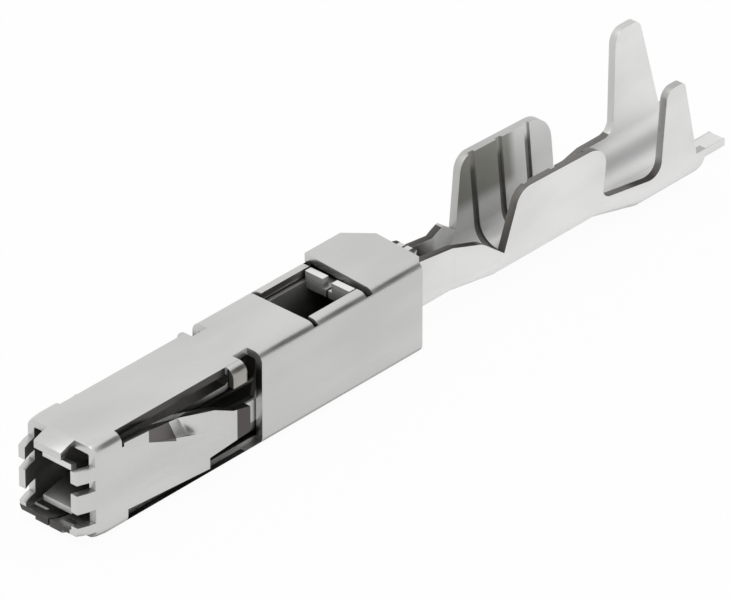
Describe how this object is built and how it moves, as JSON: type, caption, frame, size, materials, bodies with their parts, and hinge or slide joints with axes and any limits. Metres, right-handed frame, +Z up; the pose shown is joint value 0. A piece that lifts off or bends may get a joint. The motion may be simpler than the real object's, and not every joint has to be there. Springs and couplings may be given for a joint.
{
  "type": "crimp socket terminal",
  "caption": "Folded sheet socket contact: spring box with side lances and roof window, neck, conductor barrel and staggered insulation barrel for a crimped wire.",
  "frame": {"origin": "centre of the whole terminal's bounding box, at the level of the box floor it rests on", "axes": "+X from the mouth to the wire end, +Y across towards the rear insulation wing, +Z up through the roof window"},
  "size_m": [0.0234, 0.0028, 0.0039],
  "materials": {
    "spring_steel": "rolled stainless spring steel, satin, with sheared bright edges",
    "tin_plated_alloy": "copper alloy with bright tin plating, so it looks silver"
  },
  "bodies": {
    "root": {"spring_box": "spring_steel", "contact_body": "tin_plated_alloy"}
  },
  "joints": []
}
